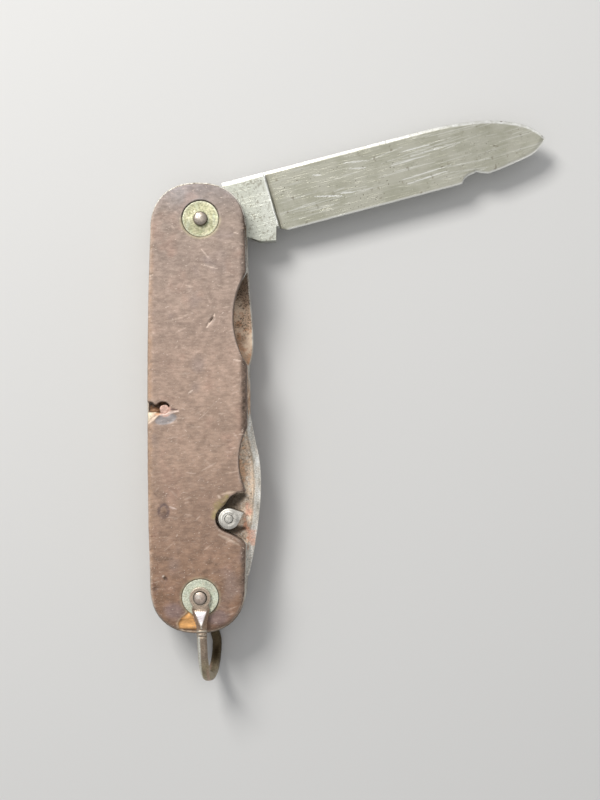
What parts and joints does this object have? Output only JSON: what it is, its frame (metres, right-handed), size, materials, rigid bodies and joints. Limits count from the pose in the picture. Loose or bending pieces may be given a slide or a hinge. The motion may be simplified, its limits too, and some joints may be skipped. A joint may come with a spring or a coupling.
{
  "type": "clasp knife",
  "caption": "Folding clasp knife for rope work: a main blade and a can opener turn in a riveted, fibre-covered handle with a wire lanyard bail.",
  "frame": {"origin": "on the rear scale's flat face, on the line between the two end pins, midway between them", "axes": "+Z out of the front scale, +Y along the handle to the main blade's pin, +X to the side that both blades open from"},
  "size_m": [0.0855, 0.1206, 0.0161],
  "materials": {
    "fibre": "matte mottled brown moulded fibre, scuffed",
    "brass": "tarnished, yellow-green, satin",
    "pin_steel": "dull, domed rivet heads",
    "blade_steel": "satin warm grey, scratched along its length",
    "opener_steel": "worn bright band, light rust",
    "liner_steel": "light brown rust, bright worn edge",
    "spring_steel": "dark, lightly rusted",
    "bail_steel": "brown-grey, worn"
  },
  "bodies": {
    "handle": {"front_scale": "fibre", "rear_scale": "fibre", "front_liner": "liner_steel", "centre_liner": "liner_steel", "rear_liner": "liner_steel", "blade_spring": "spring_steel", "opener_spring": "spring_steel", "blade_pin": "pin_steel", "opener_pin": "pin_steel", "spring_pin": "pin_steel", "front_blade_washer": "brass", "rear_blade_washer": "brass"},
    "blade": {"main_blade": "blade_steel"},
    "opener": {"can_opener": "opener_steel", "rim_lug": "opener_steel", "lug_rivet": "opener_steel"},
    "bail_washers": {"front_bail_washer": "brass", "rear_bail_washer": "brass"},
    "bail": {"bail": "bail_steel"}
  },
  "joints": [
    {"name": "blade_pivot", "type": "hinge", "parent": "handle", "child": "blade", "pos_m": [0, 0.0399, 0.0062], "axis": [0, 0, 1], "range_deg": [-102.1, 77.9]},
    {"name": "opener_pivot", "type": "hinge", "parent": "handle", "child": "opener", "pos_m": [0, -0.0399, 0.01], "axis": [0, 0, 1], "range_deg": [-180, 0]},
    {"name": "bail_washer_turn", "type": "hinge", "parent": "handle", "child": "bail_washers", "pos_m": [0, -0.0399, 0.00805], "axis": [0, 0, 1], "range_deg": [-90, 0]},
    {"name": "bail_swing", "type": "hinge", "parent": "bail_washers", "child": "bail", "pos_m": [0, -0.0399, 0.00805], "axis": [0, 0, 1], "range_deg": [-12, 25]}
  ],
  "couplings": [
    {"joint": "bail_washer_turn", "follows": "opener_pivot", "ratio": 0.5}
  ]
}
